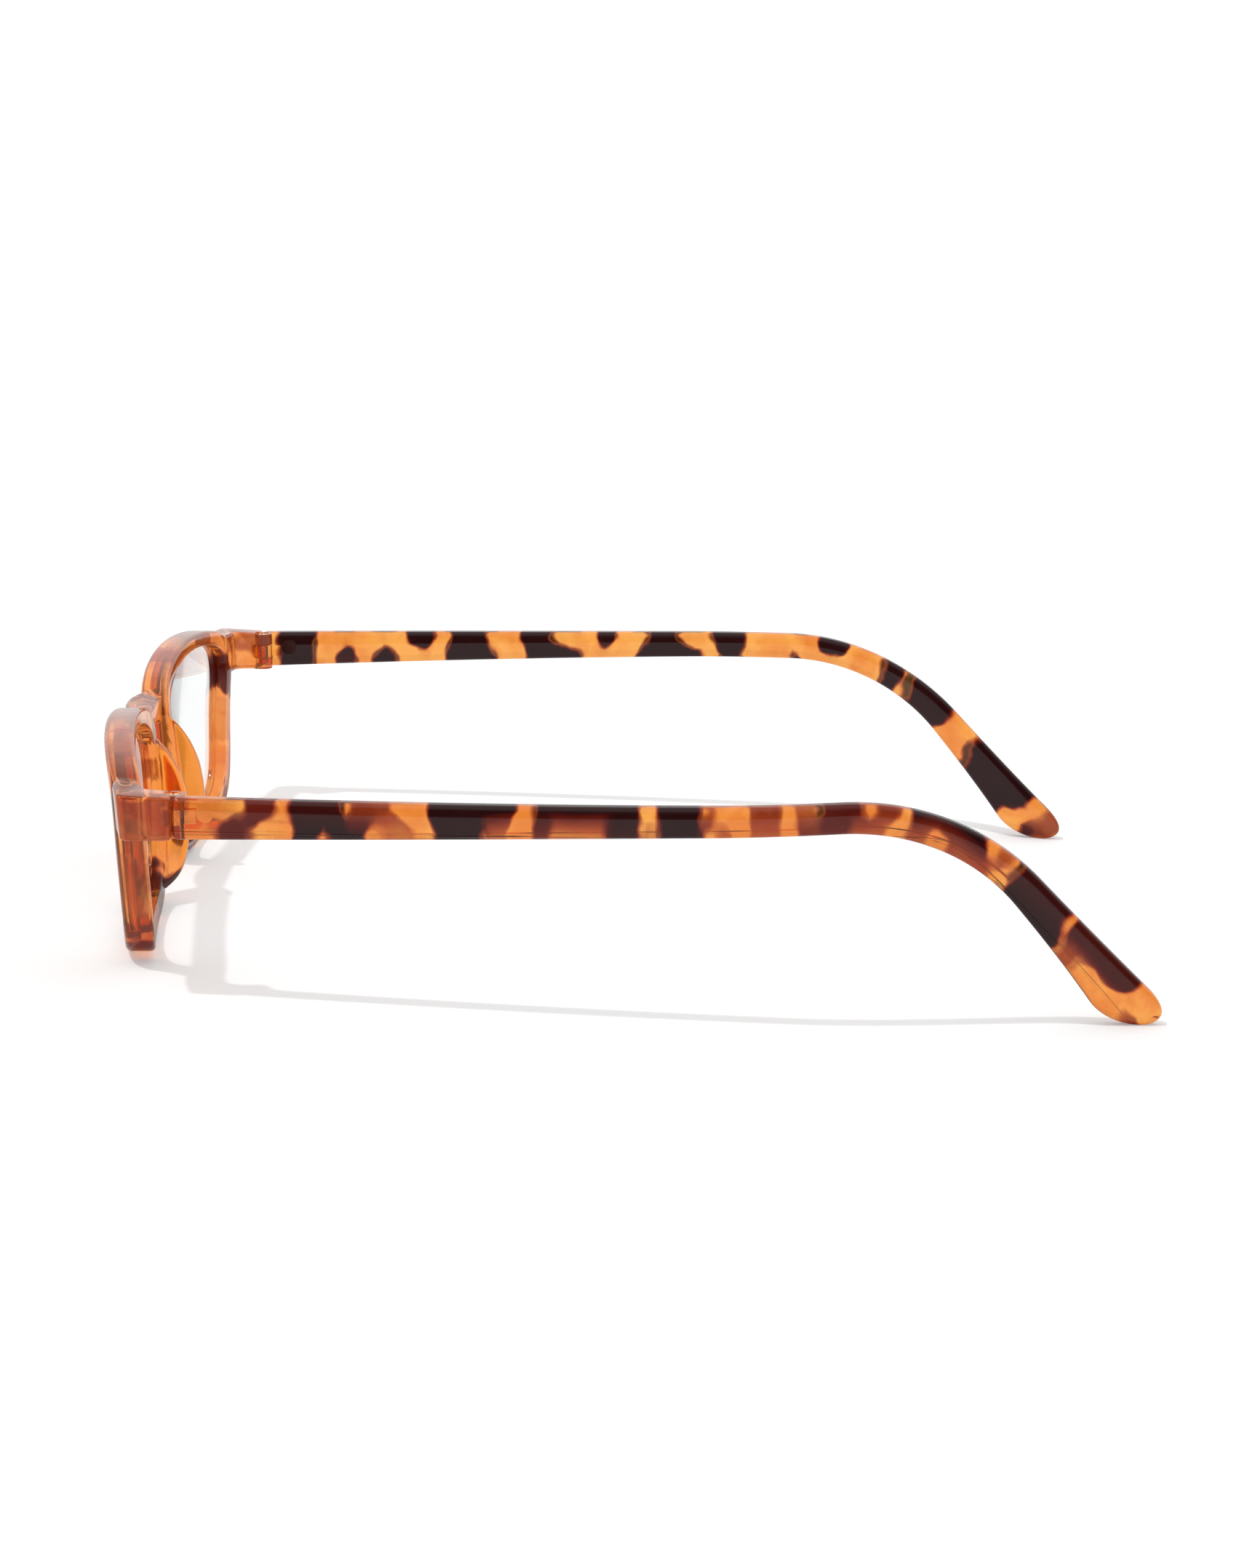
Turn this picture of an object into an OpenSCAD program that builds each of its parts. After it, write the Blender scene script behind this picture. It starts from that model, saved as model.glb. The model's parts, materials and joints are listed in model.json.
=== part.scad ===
// Reading glasses, moulded in tortoiseshell plastic, with folding temples on knuckle hinges.
// The wearer looks along -Y, so the left temple is on the +X side and the temples run along +Y.
// The glasses lie open on a table: Z = 0 touches the rims and both temple tips.

/* [Front] */
// Width of the front across the outer faces of the end pieces
front_w = 134; // [130:1:138]
// Radius of the front's wrap around the face, seen from above
wrap_r = 230; // [200:5:280]
// Distance from the middle to the forward-most point of each lens
wrap_x = 14; // [10:1:18]
// How far the front stands ahead of the hinge split
front_y = 13.1; // [12.6:0.1:14]
// Lean of the front, with the lower edge further back
lean = 4.4; // [2:0.2:6]

/* [Rims] */
// Width of the lens opening
open_w = 40.6; // [39:0.2:41.4]
// Height of the lens opening
open_h = 25.4; // [23:0.2:27]
// Distance from the middle to the centre of each opening
open_x = 31.9; // [31:0.1:32.6]
// Height of the opening's crest against the top of the hinge split
open_top = 1.8; // [0.8:0.1:2.2]
// Width of the rim below the lens and at the nose
rim_w = 3; // [2.6:0.1:3.2]
// Width of the rim along the brow
brow_w = 2; // [1.8:0.1:2.6]
// Extra width of the rim at the temple
rim_side = 0.6; // [0:0.1:1]
// Depth of the rim from front to back
rim_d = 4.1; // [3.6:0.1:4.6]
// Radius of the rim's outer edges
rim_round = 0.7; // [0.4:0.05:0.9]
// How much wider the opening gets towards the brow, as a share
rim_taper = 0.152; // [0.1:0.004:0.18]
// Shift of the brow away from the nose
rim_skew = 1.3; // [0.8:0.1:1.8]
// Fall of the brow line from its crest to the corners
brow_bow = 2.9; // [1.5:0.1:3.5]
// Rise of the lower edge from its lowest point to the corners
chin_bow = 0.5; // [0:0.1:1.5]

/* [Bridge and nose pads] */
// Height of the bridge's top against the top of the hinge split
bridge_z = 0.6; // [0:0.1:0.8]
// Height of the bridge in the middle
bridge_h = 3.9; // [3:0.1:5]
// How far the middle of the bridge stands ahead of its ends
bridge_out = 1.3; // [0.4:0.1:1.6]
// Depth of the bridge from its ends' front to its back
bridge_d = 2.8; // [2.2:0.1:3.2]
// How far a nose pad stands out behind the bridge's back
pad_out = 5.2; // [3.5:0.1:6]
// Thickness of a nose pad
pad_t = 2; // [1.6:0.1:2.4]
// Height of the middle of a nose pad
pad_z = -15.4; // [-16:0.2:-14.6]
// Half the height of a nose pad
pad_half = 12; // [10:0.2:12.4]

/* [Lenses] */
// Thickness of a lens where it sits in its groove
lens_edge = 1.2; // [1:0.05:1.4]
// Extra thickness of a lens in its middle
lens_full = 0.45; // [0.4:0.05:0.8]
// Radius of the rear face of a lens, which gives its reading power
lens_rear_r = 320; // [300:10:600]
// Depth from the front of the rim to the groove
groove_at = 1.2; // [1:0.05:1.4]
// Depth of the groove into the rim
groove_d = 0.7; // [0.5:0.05:0.9]
// Clearance between a lens and its rim
lens_gap = 0.1; // [0.06:0.01:0.14]

/* [End pieces and hinges] */
// Height of the end piece at the hinge
end_h = 5.7; // [5.4:0.1:6.2]
// Thickness of the end piece beside the hinge
end_t = 4.55; // [4.4:0.05:4.8]
// Rise of the end piece's top towards the brow, for each millimetre
end_rise = 0.03; // [0.02:0.005:0.06]
// Fall of the end piece's top towards the back, for each millimetre
end_fall = 0.06; // [0.03:0.01:0.1]
// Distance from the outer face to the hinge axis
axis_in = 3.3; // [3.1:0.05:3.5]
// Radius of the hinge knuckles
knuckle_r = 1.6; // [1.5:0.05:1.7]
// Height of the temple's middle knuckle
tongue_h = 1.9; // [1.6:0.1:2.2]
// Gap at the split between the end piece and the temple
split_gap = 0.22; // [0.15:0.01:0.3]
// Clearance around and between the knuckles
knuckle_gap = 0.12; // [0.08:0.01:0.16]
// Radius of the hinge screw's shank
shank_r = 0.6; // [0.5:0.05:0.7]
// Radius of the hinge screw's head
head_r = 1.05; // [0.9:0.05:1.1]
// Height of the hinge screw's head
head_h = 0.6; // [0.4:0.05:0.8]
// Radial clearance around the screw
screw_gap = 0.05; // [0.03:0.01:0.08]

/* [Temples] */
// Length of a temple along Y, from the split to the end of the tip
temple_y = 128.1; // [124:0.1:134]
// Thickness of a temple
temple_t = 3; // [2.7:0.1:3.2]
// Height of a temple at the hinge
temple_h = 5.6; // [5.2:0.1:6]
// Height of a temple where it is narrowest, before the bend
waist_h = 4; // [3.6:0.1:4.8]
// Height of a temple across its tip
tip_h = 8; // [6:0.1:8.4]
// Slant of the tip: how far its upper edge runs on beyond its lower edge, as a share of its height
tip_slant = 0.72; // [0:0.02:0.9]
// Where the bend over the ear begins
bend_y = 86.7; // [82:0.1:92]
// Radius of the bend over the ear
bend_r = 33.3; // [28:0.1:38]
// Drop of the tip against the straight run, in degrees
drop = 49; // [42:0.2:52]
// Outward bow of a temple over the cheek
bow = 3.6; // [1:0.1:4.4]
// Inward bend of a temple's tip, against its bow
tuck = 12.4; // [9:0.1:13]
// Radius of a temple's edges
temple_round = 0.6; // [0.4:0.05:0.8]

/* [Hidden] */
// Squareness of the opening's upper and lower corners
brow_square = 7;
chin_square = 5;
// Middle of the opening's height
open_z = open_top - open_h / 2;
// Lean of the opening's middle line towards the temple at both ends of its height
rim_lean = 0.5;
// Stations around a rim
rim_steps = 60;
// Middle of the temple's height at the hinge, and how far it rises to the bend
temple_mid = 0.05 - end_h / 2;
temple_rise = 0.26;
// Hinge axis, and the heights of the hinge from the top down
axis_x = front_w / 2 - axis_in;
axis_y = 0.1;
hinge_top = 0;
hinge_bottom = hinge_top - end_h;
tongue_top = hinge_top - (end_h - tongue_h) / 2;
tongue_bottom = tongue_top - tongue_h;
// Radius of the small rounds on the end pieces, and of the corners in plan
end_round = 0.4;
end_corner = 0.6;
end_fillet = 1;
// Where the groove ends, seen from the front
groove_end = groove_at + lens_edge;
// Round ejector mark on the inner face of a temple
mark_r = 1.15;
mark_y = 4.4;
mark_depth = 0.15;

function sgn(v) = v < 0 ? -1 : 1;
function arc(c, r, a0, a1, n) = [for (i = [0:n]) c + r * [cos(a0 + (a1 - a0) * i / n), sin(a0 + (a1 - a0) * i / n)]];
function ease(t) = let (u = min(max(t, 0), 1)) u * u * (3 - 2 * u);
function flat(rings) = [for (r = rings) for (p = r) p];

// Depth of the front's forward face at a place seen from the front
function face_y(x, z) = -front_y + (wrap_r - sqrt(wrap_r * wrap_r - pow(x - wrap_x, 2))) / cos(lean) - z * tan(lean);

// Place on the opening's outline in direction t, moved outwards by g; the stations crowd at the corners
function rim_xz(t, g) =
    let (a = t + 7 * sin(4 * t), n = sin(a) > 0 ? brow_square : chin_square)
    let (k = pow(pow(abs(cos(a)), n) + pow(abs(sin(a)), n), 1 / n), sx = cos(a) / k, sz = sin(a) / k)
    let (fall = sin(a) > 0 ? brow_bow : chin_bow, gx = g * (1 + rim_side / rim_w * pow(max(sx, 0), 2)))
    let (gz = g * (sin(a) > 0 ? brow_w / rim_w : 1))
    [open_x + (open_w / 2 + gx) * sx * (1 + rim_taper * sz) + rim_skew * sz + rim_lean * sz * sz,
     open_z + (open_h / 2 + gz) * sz - fall * sx * sx * sz];
function rim_point(t, g, d) = let (p = rim_xz(t, g)) [p[0], face_y(p[0], p[1]) + d, p[1]];

// Section of a rim: width from the opening outwards, and depth from the front
lip = 0.35;
rim_section = concat(
    [[0, groove_at - lens_gap], [groove_d, groove_at - lens_gap], [groove_d, groove_end + lens_gap],
     [0, groove_end + lens_gap]],
    arc([lip, rim_d - lip], lip, 180, 90, 2),
    arc([rim_w - rim_round, rim_d - rim_round], rim_round, 90, 0, 2),
    arc([rim_w - rim_round, rim_round], rim_round, 0, -90, 2),
    arc([lip, lip], lip, 270, 180, 2));
rim_rings = [for (i = [0:rim_steps - 1]) [for (q = rim_section) rim_point(i * 360 / rim_steps, q[0], q[1])]];

// Bridge between the rims: its front stands out in the middle and its top falls to the back
bridge_half = open_x - open_w / 2 - rim_w * 0.6;
function bridge_ring(x) =
    let (u = abs(x) / bridge_half, top = bridge_z, bottom = bridge_z - bridge_h - 2.2 * pow(u, 3), r = 0.5)
    let (back = 0.5 - front_y + bridge_d, front = 0.5 - front_y - bridge_out * (1 - pow(min(abs(x) / 7, 1), 2.5)))
    [for (q = concat(arc([front + r, bottom + r], r, 180, 270, 2), arc([back - r, bottom + r], r, 270, 360, 2),
                     arc([back - r, top - r - 0.9], r, 0, 70, 2), arc([front + r, top - r], r, 100, 180, 2)))
        [x, q[0], q[1]]];
bridge_rings = [for (i = [6:-1:-6]) bridge_ring(bridge_half * i / 6)];

// Nose pad: a fin behind the nasal side of the rim, with its edge in one curve
function nasal_x(z) =
    let (u = max(min((z - open_z) / (open_h / 2 + rim_w - (z > open_z ? brow_bow : chin_bow)), 1), -1))
    open_x - (open_w / 2 + rim_w) * (1 + rim_taper * u) + rim_skew * u + rim_lean * u * u + 0.3 + 3 * pow(abs(u), 12);
function pad_ring(t) =
    let (u = 0.96 * cos(180 * t), z = pad_z + pad_half * u, x = nasal_x(z), root = face_y(x, z) + rim_d - 1.4)
    let (tip = max(3.9 - front_y + pad_out * pow(1 - u * u, 0.8), root + 1), w = pad_t, r = 0.28 * w)
    [for (q = concat([[0, root], [w, root]], arc([w * 0.85 - r, tip - r], r, 0, 90, 2),
                     arc([w * 0.15 + r, tip - r], r, 90, 180, 2)))
        [x + q[0], q[1], z]];
pad_rings = [for (i = [0:12]) pad_ring(i / 12)];

// Shoulder of the end piece in plan, from the rim to the hinge block; the mark says which points follow the curved face
end_x1 = front_w / 2;
end_x0 = end_x1 - end_t;
end_root = max([for (i = [0:rim_steps - 1]) rim_xz(i * 360 / rim_steps, groove_d)[0]]) + 0.15;
// Where the shoulder ends and the hinge block starts, and how much narrower the block is
block_y = -2.2;
block_inset = 0.03;
// How far the back of the shoulder's root lies inside the rim, so that it leaves the rim at an angle
root_in = 1.6;
function end_plan(g) =
    let (c = end_corner, yb = rim_d - 0.3 - g)
    concat([for (p = [[0, 0.7], [0.32, 0.3], [0.5, 0.05], [0.7, 0], [1, 0]])
                [end_root + (end_x1 - 1 - end_root) * p[0], g + p[1], 1]],
           [for (a = [-70, -35, 0]) [end_x1 - c + (c - g) * cos(a), c + (c - g) * sin(a), 1]],
           [[end_x1 - g, block_y, 0], [end_x0 + g, block_y, 0]],
           [for (a = [0, 30, 60, 90]) [end_x0 - end_fillet + (end_fillet + g) * cos(a),
                                       yb + g + end_fillet - (end_fillet + g) * sin(a), 1]],
           [[end_x0 - 3, yb - 0.2, 1], [end_root, yb - root_in, 1]]);
function end_top(x, y) = hinge_top + end_rise * (end_x1 - x) - end_fall * y;
function end_ring(up, dz, g) =
    [for (p = end_plan(g))
        let (y = p[1] + (p[2] > 0 ? face_y(p[0], up ? 0 : hinge_bottom) : 0))
        [p[0], y, up ? end_top(p[0], y) - dz : hinge_bottom + dz]];
end_rings = concat([for (a = [90, 45, 0]) end_ring(true, end_round * (1 - sin(a)), end_round * (1 - cos(a)))],
                   [for (a = [0, 45, 90]) end_ring(false, end_round * (1 - sin(a)), end_round * (1 - cos(a)))]);

// Temple's middle line: a straight run, the bend over the ear and the straight tip
bend_turn = bend_r * sin(drop);
tip_run = (temple_y - bend_y - bend_turn) / cos(drop);
bend_len = bend_r * drop * PI / 180;
temple_len = bend_y + bend_len + tip_run;
function turn_at(s) = min(max((s - bend_y) / bend_len, 0), 1) * drop;
function mid_at(s) =
    let (a = turn_at(s), rest = max(s - bend_y - bend_len, 0), rise = temple_rise * min(s / bend_y, 1))
    [min(s, bend_y) + bend_r * sin(a) + rest * cos(a), temple_mid + rise - bend_r * (1 - cos(a)) - rest * sin(a)];
// Half height along the temple, from the hinge over the waist to the tip
function half_at(s) = s < bend_y
    ? (temple_h + (waist_h - temple_h) * sin(90 * s / bend_y)) / 2
    : (waist_h + (tip_h - waist_h) * pow((s - bend_y) / (temple_len - bend_y), 2.8)) / 2;
// Outer face of the temple, bowed over the cheek and tucked in at the tip
bow_y = 70;
function face_x(y) = front_w / 2 + bow * (1 - pow(1 - min(y, bow_y) / bow_y, 2))
                     - tuck * ease((y - bow_y) / (temple_y - bow_y) / 1.13);
// Length over which the temple's end is rounded, and the round of its tip
nose_round = 0.6;
tip_round = tip_h * 0.7;
slant_run = 22;
temple_s = concat(
    [for (a = [0, 30, 60, 90]) split_gap + nose_round * (1 - cos(a))],
    [for (i = [1:14]) bend_y * i / 15],
    [for (i = [0:10]) bend_y + bend_len * i / 10],
    [for (i = [1:4]) bend_y + bend_len + (tip_run - tip_round) * i / 4],
    [for (a = [15, 30, 45, 60, 72, 82, 90]) temple_len - tip_round * (1 - sin(a))]);
function nose_share(s) = max(split_gap + nose_round - s, 0) / nose_round;
function tip_share(s) = s > temple_len - tip_round
    ? max(sqrt(1 - pow((s - temple_len + tip_round) / tip_round, 2)), 0.08) : 1;
function temple_section(h, t) =
    let (r = min(temple_round, h * 0.7, t * 0.45))
    concat(arc([t / 2 - r, h - r], r, 0, 90, 2), arc([-t / 2 + r, h - r], r, 90, 180, 2),
           arc([-t / 2 + r, -h + r], r, 180, 270, 2), arc([t / 2 - r, -h + r], r, 270, 360, 2));
function temple_ring(s) =
    let (m = mid_at(s), a = turn_at(s), k = tip_share(s), cut = nose_round * (1 - sqrt(1 - pow(nose_share(s), 2))),
         lean = tip_slant * ease((s - temple_len + slant_run) / slant_run))
    [for (q = temple_section(half_at(s) * k - cut, temple_t * (0.55 + 0.45 * k) - 2 * cut))
        [face_x(m[0]) - temple_t / 2 + q[0], m[0] + q[1] * (sin(a) + lean * cos(a)),
         m[1] + q[1] * (cos(a) - lean * sin(a))]];
temple_rings = [for (s = temple_s) temple_ring(s)];

// The glasses rest on the lowest points of the rims and of the temple tips
function low(points, a) = min([for (p = points) p[1] * sin(a) + p[2] * cos(a)]);
function lowest(points, a) = let (m = low(points, a)) [for (p = points) if (p[1] * sin(a) + p[2] * cos(a) <= m) p][0];
rim_points = flat(rim_rings);
temple_points = flat(temple_rings);
function pitch_after(a) =
    let (p = lowest(rim_points, a), q = lowest(temple_points, a))
    atan((p[2] - q[2]) / (q[1] - p[1]));
rest_pitch = pitch_after(pitch_after(pitch_after(2)));
rest_lift = -low(rim_points, rest_pitch);
function across(points) = [for (p = points) p[1] * cos(rest_pitch) - p[2] * sin(rest_pitch)];
bench_y = (min(concat(across(rim_points), across(flat(bridge_rings)))) + max(across(temple_points))) / 2;

// Joins rings of points into one closed skin
module skin(rings, closed) {
    n = len(rings[0]);
    m = len(rings);
    last = closed ? m - 1 : m - 2;
    sides = [for (i = [0:last]) for (j = [0:n - 1])
        let (a = i * n + j, b = i * n + (j + 1) % n, c = ((i + 1) % m) * n + (j + 1) % n, d = ((i + 1) % m) * n + j)
        for (f = [[a, b, c], [a, c, d]]) f];
    caps = closed ? [] : [[for (j = [n - 1:-1:0]) j], [for (j = [0:n - 1]) (m - 1) * n + j]];
    polyhedron(points = flat(rings), faces = concat(sides, caps));
}

// Puts the glasses on the table
module placed() {
    translate([0, -bench_y, rest_lift])
        rotate([rest_pitch, 0, 0])
            children();
}

module both_sides() {
    children();
    mirror([1, 0, 0]) children();
}

// Puts round things on the hinge axis, turned so that their seams lie inside the end piece
module on_axis(z) {
    translate([axis_x, axis_y, z])
        rotate([0, 0, -70])
            children();
}

// Stepped hole for the hinge screw, with the recess for its head
module screw_hole() {
    on_axis(hinge_bottom + 0.8) cylinder(r = shank_r + screw_gap, h = end_h, $fn = 48);
    on_axis(hinge_top - head_h) cylinder(r = head_r + screw_gap, h = head_h + 2, $fn = 48);
}

// Hinge block's section across, with its lower or upper corners rounded, seen along Y
module block_section(up) {
    x0 = end_x0 + block_inset;
    x1 = end_x1 - block_inset;
    r = end_round + 0.05;
    z = up ? hinge_top - block_inset : hinge_bottom + block_inset;
    polygon(up
        ? concat([[x0, z - 2 * end_h], [x1, z - 2 * end_h]], arc([x1 - r, z - r], r, 0, 90, 2),
                 arc([x0 + r, z - r + end_rise * (x1 - x0)], r, 90, 180, 2))
        : concat([[x1, z + 2 * end_h], [x0, z + 2 * end_h]], arc([x0 + r, z + r], r, 180, 270, 2), arc([x1 - r, z + r], r, 270, 360, 2)));
}

// Hinge block behind the shoulder, a little narrower so that it starts inside the shoulder's end
module hinge_block() {
    c = end_corner;
    x0 = end_x0 + block_inset;
    x1 = end_x1 - block_inset;
    intersection() {
        translate([0, 0, hinge_bottom - 1])
            linear_extrude(end_h + 2)
                polygon(concat([[x0, block_y - 1], [x1, block_y - 1]], arc([x1 - c, -c], c, 0, 90, 4),
                               arc([x0 + c, -c], c, 90, 180, 4)));
        rotate([90, 0, 0]) linear_extrude(2 * end_h, center = true) block_section(false);
        rotate([90 - atan(end_fall), 0, 0]) linear_extrude(2 * end_h, center = true) block_section(true);
    }
}

module front_hinge_half() {
    difference() {
        union() {
            hinge_block();
            on_axis(hinge_bottom + 0.06) cylinder(r = knuckle_r, h = end_h - 0.06, $fn = 48);
        }
        // Slot for the temple's knuckle
        on_axis(tongue_bottom - knuckle_gap)
            cylinder(r = knuckle_r + knuckle_gap, h = tongue_h + 2 * knuckle_gap, $fn = 48);
        screw_hole();
    }
}

// Rims, bridge, nose pads and shoulders in one; the resize is to their own size, and makes them one skin
module front_body() {
    resize([0, 0, 0]) {
        skin(bridge_rings, false);
        both_sides() {
            skin(rim_rings, true);
            skin(pad_rings, false);
            skin(end_rings, false);
        }
    }
}

module front_frame() {
    color("saddlebrown") placed() {
        front_body();
        both_sides() front_hinge_half();
    }
}

// Area inside the opening's outline, moved outwards by g, standing along Y
module opening_prism(g) {
    translate([0, -2 * front_y, 0])
        rotate([-90, 0, 0])
            linear_extrude(3 * front_y)
                polygon([for (i = [0:rim_steps - 1]) let (p = rim_xz(i * 360 / rim_steps, g)) [p[0], -p[1]]]);
}

// Space behind a face that is curved about an upright axis; c is the place of that axis in plan
module behind_face(c, r) {
    translate([0, -front_y, 0])
        rotate([lean, 0, 0])
            translate([c[0], c[1], 0])
                cylinder(r = r, h = 120, center = true, $fn = 360);
}

// The rear face is curved about its own axis, square to the lens at its middle
module lens() {
    wrap_at = asin((open_x - wrap_x) / wrap_r);
    back_off = lens_rear_r + groove_end + lens_full - wrap_r;
    rear_axis = [wrap_x - back_off * sin(wrap_at), wrap_r + back_off * cos(wrap_at)];
    intersection() {
        opening_prism(groove_d - lens_gap);
        difference() {
            behind_face([wrap_x, wrap_r + groove_at * cos(lean)], wrap_r);
            behind_face([wrap_x, wrap_r + groove_end * cos(lean)], wrap_r);
        }
    }
    intersection() {
        opening_prism(-lens_gap);
        difference() {
            behind_face([wrap_x, wrap_r + groove_at * cos(lean)], wrap_r);
            behind_face(rear_axis, lens_rear_r);
        }
    }
}

module left_lens() {
    color("lightcyan") placed() lens();
}

module right_lens() {
    color("lightcyan") placed() mirror([1, 0, 0]) lens();
}

module temple() {
    difference() {
        union() {
            difference() {
                union() {
                    skin(temple_rings, false);
                    // Boss on the inner side, behind the knuckle
                    translate([axis_x, 1, tongue_bottom + 0.1]) cube([1.5, 2.2, tongue_h - 0.2]);
                }
                // Room for the front's knuckles
                on_axis(tongue_top) cylinder(r = knuckle_r + knuckle_gap, h = end_h, $fn = 48);
                on_axis(tongue_bottom - end_h) cylinder(r = knuckle_r + knuckle_gap, h = end_h, $fn = 48);
            }
            on_axis(tongue_bottom) cylinder(r = knuckle_r, h = tongue_h, $fn = 48);
        }
        on_axis(tongue_bottom - 1) cylinder(r = shank_r + screw_gap, h = tongue_h + 2, $fn = 48);
        // Round mark of the mould's ejector pin
        translate([face_x(mark_y) - temple_t - 1 + mark_depth, mark_y, temple_mid + 0.4])
            rotate([0, 90, 0])
                cylinder(r = mark_r, h = 1, $fn = 48);
    }
}

module left_temple() {
    color("peru") placed() temple();
}

module right_temple() {
    color("peru") placed() mirror([1, 0, 0]) temple();
}

module hinge_screw() {
    difference() {
        union() {
            on_axis(hinge_bottom + 0.85) cylinder(r = shank_r, h = end_h - 1, $fn = 48);
            on_axis(hinge_top - head_h + 0.03) cylinder(r = head_r, h = head_h - 0.1, $fn = 48);
        }
        // Driver slot
        translate([axis_x - head_r, axis_y - 0.15, hinge_top - 0.25]) cube([2 * head_r, 0.3, 1]);
    }
}

module left_hinge_screw() {
    color("goldenrod") placed() hinge_screw();
}

module right_hinge_screw() {
    color("goldenrod") placed() mirror([1, 0, 0]) hinge_screw();
}

front_frame();
left_lens();
right_lens();
left_temple();
right_temple();
left_hinge_screw();
right_hinge_screw();
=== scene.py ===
import json
from math import atan2, copysign, cos, pi, radians, sin, sqrt, tan

import bmesh
import bpy
from bpy.props import FloatProperty, FloatVectorProperty, PointerProperty
from mathutils import Matrix, Vector


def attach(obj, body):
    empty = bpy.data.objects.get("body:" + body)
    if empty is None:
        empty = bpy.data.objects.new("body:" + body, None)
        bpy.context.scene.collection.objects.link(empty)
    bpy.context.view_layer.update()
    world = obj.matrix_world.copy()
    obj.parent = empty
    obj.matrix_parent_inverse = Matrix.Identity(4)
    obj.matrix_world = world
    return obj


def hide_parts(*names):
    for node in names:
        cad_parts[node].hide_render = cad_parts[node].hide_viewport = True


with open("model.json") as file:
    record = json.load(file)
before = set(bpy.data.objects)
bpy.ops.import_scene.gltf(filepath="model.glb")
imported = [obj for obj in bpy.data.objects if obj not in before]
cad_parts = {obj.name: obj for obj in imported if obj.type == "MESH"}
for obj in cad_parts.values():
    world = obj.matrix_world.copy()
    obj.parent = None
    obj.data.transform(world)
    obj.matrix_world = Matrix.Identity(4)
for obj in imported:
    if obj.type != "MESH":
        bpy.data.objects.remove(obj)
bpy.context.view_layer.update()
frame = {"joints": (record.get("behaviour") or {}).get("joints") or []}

bl_info = {
    "name": "Reading glasses in tortoiseshell plastic",
    "version": (1, 0, 0),
    "blender": (4, 5, 0),
    "location": "View3D > Sidebar > Glasses",
    "description": "Builds a pair of moulded reading glasses around the packed frame",
    "category": "Object",
}

MM = 0.001


def length(name, description, mm):
    """A size in metres, given in millimetres."""
    return FloatProperty(name=name, description=description, default=mm * MM, unit="LENGTH", precision=5)


def angle(name, description, degrees):
    return FloatProperty(name=name, description=description, default=radians(degrees), unit="ROTATION")


def share(name, description, value):
    return FloatProperty(name=name, description=description, default=value, subtype="FACTOR")


def colour(name, description, value):
    return FloatVectorProperty(
        name=name, description=description, default=(*value, 1.0), size=4, subtype="COLOR", min=0, max=1
    )


class FrontSizes(bpy.types.PropertyGroup):
    """Sizes of the front: rims, bridge, nose pads and end pieces"""

    width: length("Width", "Across the outer faces of the end pieces", 134)
    wrap_r: length("Wrap radius", "Radius of the front's wrap around the face", 230)
    wrap_x: length("Wrap centre", "From the middle to the forward-most point of a lens", 14)
    ahead: length("Ahead", "How far the front stands ahead of the hinge split", 13.1)
    lean: angle("Lean", "Lean of the front, with the lower edge further back", 4.4)
    open_w: length("Opening width", "Width of a lens opening", 40.6)
    open_h: length("Opening height", "Height of a lens opening", 25.4)
    open_x: length("Opening place", "From the middle to the centre of an opening", 31.9)
    open_z: length("Opening height place", "Centre of an opening against the top of the hinge split", -10.9)
    rim_w: length("Rim width", "Width of a rim below the lens and at the nose", 3)
    brow_w: length("Brow width", "Width of a rim along the brow", 2)
    rim_side: length("Side width", "Extra width of a rim at the temple", 0.6)
    rim_d: length("Rim depth", "Depth of a rim from front to back", 4.1)
    rim_round: length("Rim round", "Radius of a rim's outer edges", 0.7)
    lip: length("Lip round", "Radius of a rim's edges at the opening", 0.35)
    rim_taper: share("Taper", "How much wider the opening gets towards the brow", 0.152)
    rim_skew: length("Skew", "Shift of the brow away from the nose", 1.3)
    rim_lean: length("Middle line", "Lean of the opening's middle line at both ends of its height", 0.5)
    brow_bow: length("Brow bow", "Fall of the brow line from its crest to the corners", 2.9)
    chin_bow: length("Chin bow", "Rise of the lower edge to its corners", 0.5)
    brow_square: FloatProperty(
        name="Brow squareness", description="Squareness of the upper corners", default=7
    )
    chin_square: FloatProperty(
        name="Chin squareness", description="Squareness of the lower corners", default=5
    )
    groove_at: length("Groove place", "From the front of a rim to its groove", 1.2)
    groove_d: length("Groove depth", "Depth of the groove into the rim", 0.7)
    bridge_z: length("Bridge top", "Height of the bridge's top against the hinge split", 0.6)
    bridge_h: length("Bridge height", "Height of the bridge in the middle", 3.9)
    bridge_out: length("Bridge bow", "How far the bridge's middle stands ahead of its ends", 1.3)
    bridge_d: length("Bridge depth", "Depth of the bridge from its ends' front to its back", 2.8)
    pad_out: length("Pad depth", "How far a nose pad stands out behind the bridge's back", 5.2)
    pad_t: length("Pad thickness", "Thickness of a nose pad", 2)
    pad_turn: angle("Pad place", "Middle of a nose pad around the rim's outline, from the temple side", 195)
    pad_span: angle("Pad reach", "How far a nose pad runs around the rim's outline to either side", 43)
    end_h: length("End height", "Height of an end piece at the hinge", 5.7)
    end_t: length("End thickness", "Thickness of an end piece beside the hinge", 4.55)
    end_rise: share("End rise", "Rise of the end piece's top towards the brow", 0.03)
    end_fall: share("End fall", "Fall of the end piece's top towards the back", 0.06)
    end_round: length("End round", "Radius of the end piece's edges", 0.45)


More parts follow.
